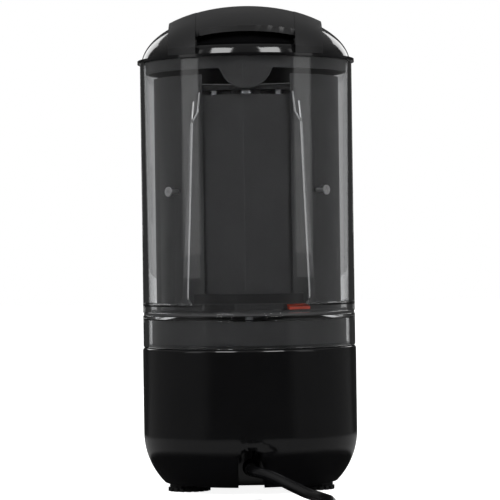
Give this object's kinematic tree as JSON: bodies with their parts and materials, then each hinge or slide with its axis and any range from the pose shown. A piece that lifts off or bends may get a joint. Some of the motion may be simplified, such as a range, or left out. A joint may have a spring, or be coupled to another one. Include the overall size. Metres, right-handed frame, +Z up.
{
  "type": "automatic citrus press",
  "caption": "Cylindrical automatic citrus press: black base with gear motor, clear chamber with door, press cup on a lead screw above a reamer, domed lift-off lid.",
  "frame": {"origin": "on the table under the middle of the outline, cord left out", "axes": "+Z up along the chamber's axis, -Y towards the user's side with door, spout and start button, +Y towards the cord outlet, +X to the user's right"},
  "size_m": [0.1547, 0.4623, 0.3382],
  "materials": {
    "gloss_black": "gloss",
    "satin_black": "satin",
    "grey_plastic": "satin",
    "clear_plastic": "clear",
    "black_rubber": "matte",
    "steel": "brushed",
    "chrome": "polished",
    "brass": "machined",
    "gear_plastic": "moulded",
    "circuit_board": "lacquered",
    "red_plastic": "moulded"
  },
  "bodies": {
    "base": {"base_housing": "gloss_black", "bottom_plate": "satin_black", "gearbox_plate": "satin_black", "switch_block": "satin_black", "strainer": "satin_black", "tower_top_plate": "satin_black", "juice_tray": "grey_plastic", "juice_duct": "grey_plastic", "press_tower": "grey_plastic", "column_cover": "grey_plastic", "collector_ring": "clear_plastic", "chamber_shell": "clear_plastic", "foot_rear_left": "black_rubber", "foot_rear_right": "black_rubber", "foot_front_left": "black_rubber", "foot_front_right": "black_rubber", "strain_relief": "black_rubber", "power_cord": "black_rubber", "cord_coil": "black_rubber", "cord_tie": "black_rubber", "power_plug": "black_rubber", "plate_screws": "steel", "gearbox_screws": "steel", "gear_motor": "steel", "idler_axle": "steel", "press_motor": "steel", "button_spring": "steel", "guide_rod_left": "steel", "guide_rod_right": "steel", "shell_screws": "steel", "door_pins": "steel", "button_bezel": "chrome", "shaft_bush": "brass", "screw_bush": "brass", "control_board": "circuit_board"},
    "reamer_drive": {"reamer": "grey_plastic", "drive_shaft": "steel", "output_gear": "gear_plastic"},
    "idler": {"idler_gear": "gear_plastic"},
    "motor_rotor": {"motor_pinion": "gear_plastic"},
    "press": {"press_carriage": "satin_black", "lead_nut": "brass", "press_cup": "satin_black", "cup_screw": "steel"},
    "screw": {"lead_screw": "steel", "screw_coupler": "steel"},
    "door": {"door_panel": "clear_plastic", "door_handle": "satin_black"},
    "button": {"start_button": "chrome"},
    "spout_body": {"spout": "grey_plastic"},
    "latch": {"latch_tab": "red_plastic"},
    "lid": {"lid_dome": "gloss_black", "lid_band_left": "satin_black", "lid_band_right": "satin_black", "lid_grip": "satin_black", "lid_skirt": "grey_plastic"}
  },
  "joints": [
    {"name": "reamer_spin", "type": "hinge", "parent": "base", "child": "reamer_drive", "pos_m": [0, 0.0139, 0.13], "axis": [0, 0, 1], "continuous": true},
    {"name": "idler_spin", "type": "hinge", "parent": "base", "child": "idler", "pos_m": [-0.03031, -0.0036, 0.07], "axis": [0, 0, 1], "continuous": true},
    {"name": "motor_spin", "type": "hinge", "parent": "base", "child": "motor_rotor", "pos_m": [0.00169, -0.00924, 0.07], "axis": [0, 0, 1], "continuous": true},
    {"name": "press_travel", "type": "slide", "parent": "base", "child": "press", "axis": [0, 0, -1], "range_m": [0, 0.075]},
    {"name": "screw_spin", "type": "hinge", "parent": "base", "child": "screw", "pos_m": [0, 0.0677, 0.19], "axis": [0, 0, 1], "range_deg": [0, 3400]},
    {"name": "door_hinge", "type": "hinge", "parent": "base", "child": "door", "pos_m": [-0.05172, -0.03605, 0.202], "axis": [0, 0, -1], "range_deg": [0, 110]},
    {"name": "button_press", "type": "slide", "parent": "base", "child": "button", "axis": [0, 1, 0], "range_m": [0, 0.0025], "stiffness_N_per_m": 400, "deforming": ["button_spring"]},
    {"name": "spout_flip", "type": "hinge", "parent": "base", "child": "spout_body", "pos_m": [0, -0.0651, 0.107], "axis": [-1, 0, 0], "range_deg": [0, 75]},
    {"name": "latch_turn", "type": "hinge", "parent": "base", "child": "latch", "pos_m": [0, 0.0139, 0.127], "axis": [0, 0, -1], "range_deg": [0, 6]},
    {"name": "lid_lift", "type": "slide", "parent": "base", "child": "lid", "axis": [0, 0, 1], "range_m": [0, 0.08]}
  ],
  "couplings": [
    {"joint": "idler_spin", "follows": "reamer_spin", "ratio": -2.5},
    {"joint": "motor_spin", "follows": "reamer_spin", "ratio": 5.625},
    {"joint": "screw_spin", "follows": "press_travel", "rad_per_m": 785.4}
  ]
}
